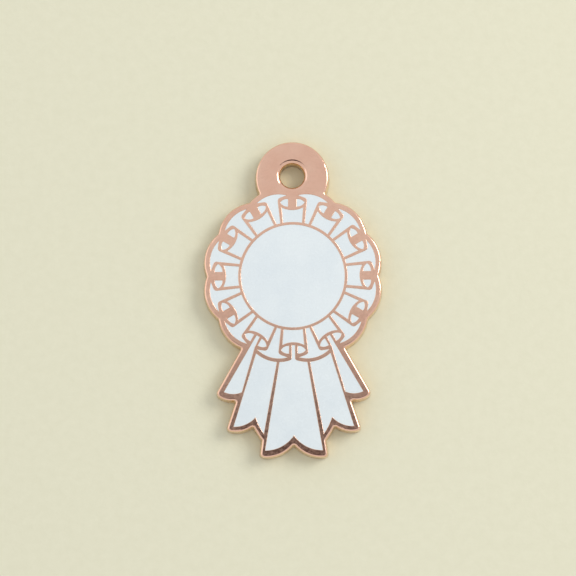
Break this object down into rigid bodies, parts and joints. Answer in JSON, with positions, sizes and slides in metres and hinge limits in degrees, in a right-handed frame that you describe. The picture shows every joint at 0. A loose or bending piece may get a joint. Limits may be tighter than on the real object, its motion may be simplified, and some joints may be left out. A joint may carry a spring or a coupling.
{
  "type": "award ribbon charm",
  "caption": "Flat enamelled metal charm shaped like an award ribbon: a pleated rosette with a blank medallion, forked ribbon tails below and a hanging loop with a hole above.",
  "frame": {"origin": "middle of the medallion, on the flat back face", "axes": "+Y towards the hanging loop, +X to the right seen from the front, +Z out of the enamelled front face"},
  "size_m": [0.0212, 0.0378, 0.002],
  "materials": {
    "rose_gold_plating": "polished rose gold plating over struck metal",
    "white_enamel": "white hard enamel ground and polished almost level with the metal"
  },
  "bodies": {
    "root": {"enamel_fold_left_01": "white_enamel", "enamel_fold_left_02": "white_enamel", "enamel_fold_left_03": "white_enamel", "enamel_fold_left_04": "white_enamel", "enamel_fold_left_05": "white_enamel", "enamel_fold_left_06": "white_enamel", "enamel_fold_left_07": "white_enamel", "enamel_fold_left_08": "white_enamel", "enamel_fold_left_09": "white_enamel", "enamel_fold_left_10": "white_enamel", "enamel_fold_left_11": "white_enamel", "enamel_fold_left_12": "white_enamel", "enamel_fold_right_01": "white_enamel", "enamel_fold_right_02": "white_enamel", "enamel_fold_right_03": "white_enamel", "enamel_fold_right_04": "white_enamel", "enamel_fold_right_05": "white_enamel", "enamel_fold_right_06": "white_enamel", "enamel_fold_right_07": "white_enamel", "enamel_fold_right_08": "white_enamel", "enamel_fold_right_09": "white_enamel", "enamel_fold_right_10": "white_enamel", "enamel_fold_right_11": "white_enamel", "enamel_fold_right_12": "white_enamel", "enamel_medallion": "white_enamel", "enamel_pleat_01": "white_enamel", "enamel_pleat_02": "white_enamel", "enamel_pleat_03": "white_enamel", "enamel_pleat_04": "white_enamel", "enamel_pleat_05": "white_enamel", "enamel_pleat_06": "white_enamel", "enamel_pleat_07": "white_enamel", "enamel_pleat_08": "white_enamel", "enamel_pleat_09": "white_enamel", "enamel_pleat_10": "white_enamel", "enamel_pleat_11": "white_enamel", "enamel_pleat_12": "white_enamel", "enamel_ruffle_01": "white_enamel", "enamel_ruffle_02": "white_enamel", "enamel_ruffle_03": "white_enamel", "enamel_ruffle_04": "white_enamel", "enamel_ruffle_05": "white_enamel", "enamel_ruffle_06": "white_enamel", "enamel_ruffle_07": "white_enamel", "enamel_ruffle_08": "white_enamel", "enamel_ruffle_09": "white_enamel", "enamel_ruffle_10": "white_enamel", "enamel_ruffle_11": "white_enamel", "enamel_ruffle_12": "white_enamel", "enamel_tail_centre": "white_enamel", "enamel_tail_middle_left": "white_enamel", "enamel_tail_middle_right": "white_enamel", "enamel_tail_outer_left": "white_enamel", "enamel_tail_outer_right": "white_enamel", "struck_plate": "rose_gold_plating"}
  },
  "joints": []
}
